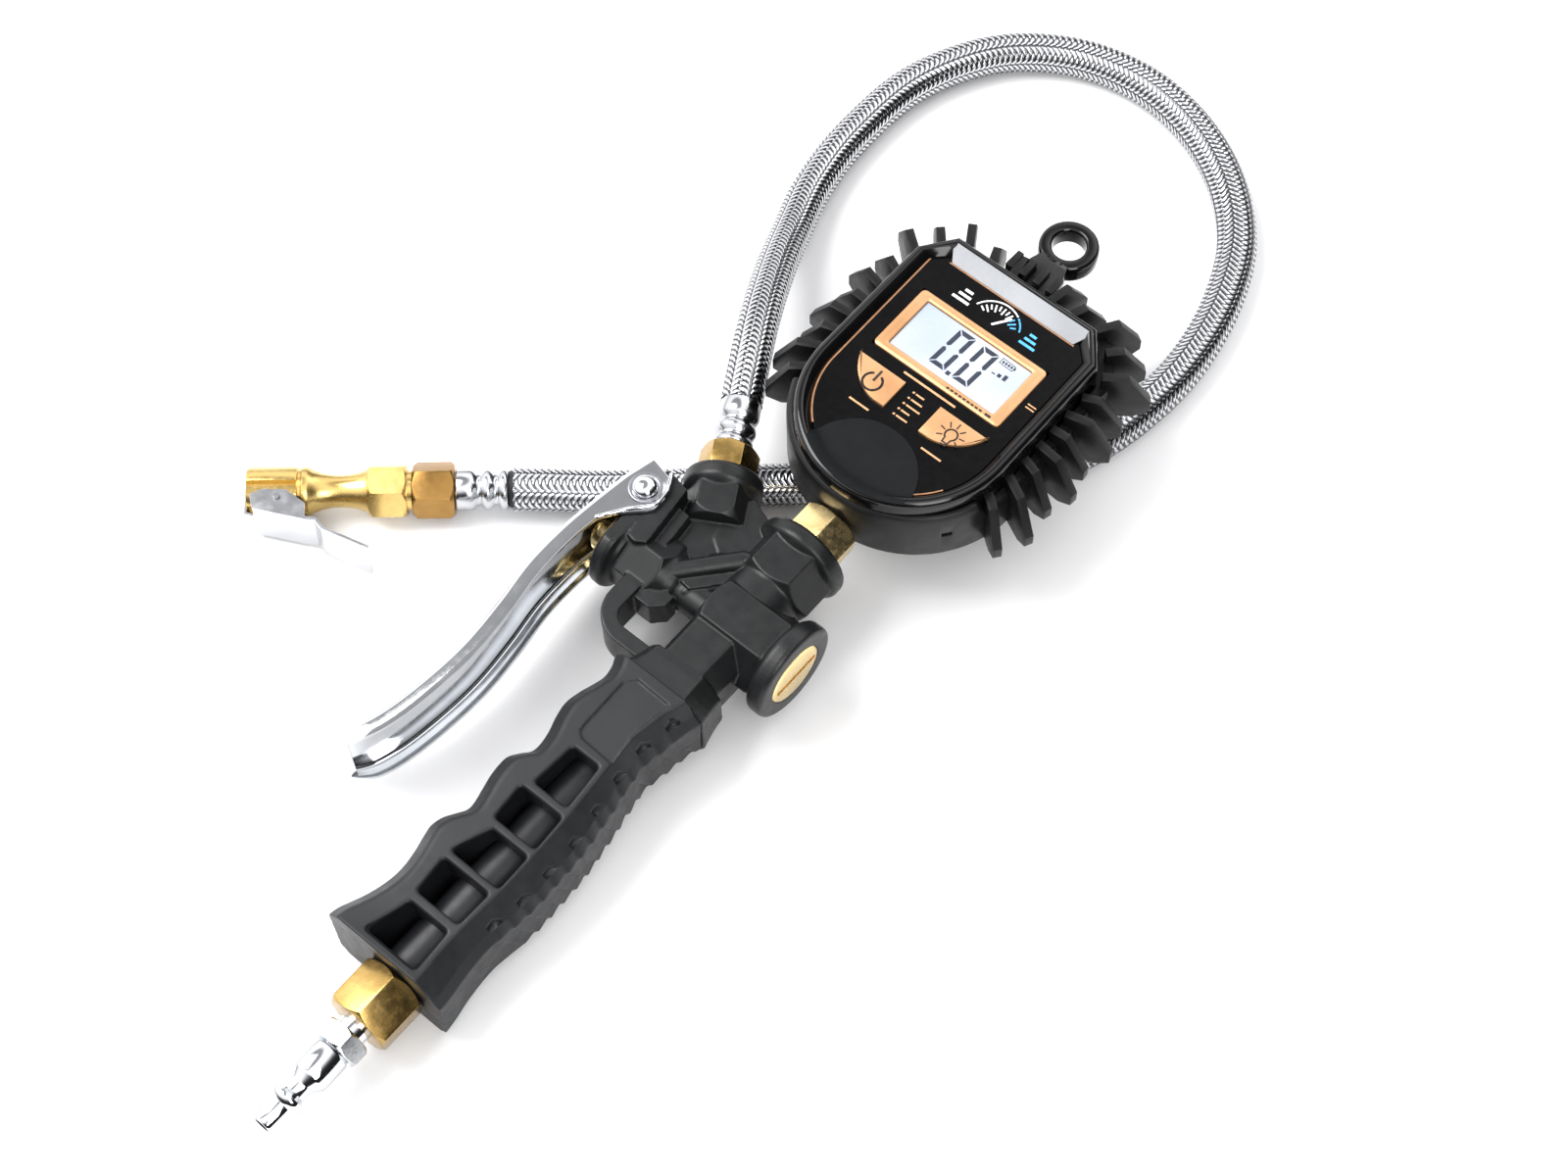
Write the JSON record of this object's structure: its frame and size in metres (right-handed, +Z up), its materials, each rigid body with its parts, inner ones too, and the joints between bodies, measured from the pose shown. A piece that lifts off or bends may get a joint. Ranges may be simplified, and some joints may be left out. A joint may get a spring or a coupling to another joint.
{
  "type": "tyre inflator with pressure gauge",
  "caption": "Hand-held tyre inflator: squeeze lever valve on a finger grip, digital pressure gauge in a rubber boot, and a short braided hose with a lock-on chuck.",
  "frame": {"origin": "on the table under the middle of the tool's box, measured without the hose and chuck", "axes": "+Y along the tool from the inlet plug to the gauge, +Z up out of the gauge's face, +X away from the lever; the tool lies on its back, its gauge end propped 3.6 degrees by its own hose"},
  "size_m": [0.2002, 0.4521, 0.0551],
  "materials": {
    "steel_plate": "polished nickel plating",
    "brass": "machined",
    "valve_plastic": "fine moulded texture",
    "grip_plastic": "fine moulded texture",
    "boot_rubber": "satin rubber",
    "case_plastic": "glossy",
    "face_plastic": "glossy printed face",
    "copper_trim": "copper coloured metallic",
    "lcd": "lit liquid crystal panel",
    "pad": "matte",
    "tube": "satin",
    "seal": "nitrile",
    "spring": "wire",
    "board": "solder mask",
    "cell": "sleeved cell",
    "sensor": "can",
    "hose": "steel braid over rubber",
    "screw": "plated"
  },
  "bodies": {
    "body": {"inlet_plug": "steel_plate", "inlet_adapter": "brass", "grip": "grip_plastic", "air_tube": "tube", "valve_body": "valve_plastic", "end_plug": "brass", "end_plug_seal": "seal", "valve_spring": "spring", "plunger_seal": "seal", "gland": "brass", "pivot_pin": "steel_plate", "pin_clip": "spring", "gauge_stem": "brass", "stem_seal": "seal", "gauge_boot": "boot_rubber", "back_case": "case_plastic", "bezel": "case_plastic", "face_window": "face_plastic", "lcd_frame": "copper_trim", "lcd_panel": "lcd", "thumb_pad": "pad", "circuit_board": "board", "pressure_sensor": "sensor", "battery_cells": "cell", "battery_door": "case_plastic", "case_screws": "screw", "hose_fitting": "brass", "fitting_ferrule": "steel_plate", "hose": "hose", "chuck_ferrule": "steel_plate", "hose_nut": "brass", "chuck_body": "brass", "chuck_gasket": "seal", "chuck_depressor": "brass", "clip_pin": "spring", "clip_spring": "spring"},
    "lever": {"lever": "steel_plate"},
    "plunger": {"plunger": "brass", "poppet": "brass", "poppet_seal": "seal"},
    "power_button": {"power_button": "copper_trim"},
    "light_button": {"light_button": "copper_trim"},
    "chuck_clip": {"chuck_clip": "steel_plate"}
  },
  "joints": [
    {"name": "lever_hinge", "type": "hinge", "parent": "body", "child": "lever", "pos_m": [-0.03923, 0.02529, 0.02452], "axis": [0, -0.0628, 0.998], "range_deg": [0, 12], "stiffness_Nm_per_rad": 2, "springref_deg": -5.73},
    {"name": "plunger_slide", "type": "slide", "parent": "body", "child": "plunger", "axis": [1, 0, 0], "range_m": [0, 0.0028], "deforming": ["valve_spring"]},
    {"name": "power_button_slide", "type": "slide", "parent": "body", "child": "power_button", "axis": [0, 0.0628, -0.998], "range_m": [0, 0.0008], "stiffness_N_per_m": 600, "springref_m": -0.0005},
    {"name": "light_button_slide", "type": "slide", "parent": "body", "child": "light_button", "axis": [0, 0.0628, -0.998], "range_m": [0, 0.0008], "stiffness_N_per_m": 600, "springref_m": -0.0005},
    {"name": "chuck_clip_hinge", "type": "hinge", "parent": "body", "child": "chuck_clip", "pos_m": [-0.12909, -0.03922, 0.0089], "axis": [0, 0, 1], "range_deg": [0, 20], "stiffness_Nm_per_rad": 0.3, "springref_deg": -8.59}
  ],
  "couplings": [
    {"joint": "plunger_slide", "follows": "lever_hinge", "m_per_rad": 0.013}
  ]
}
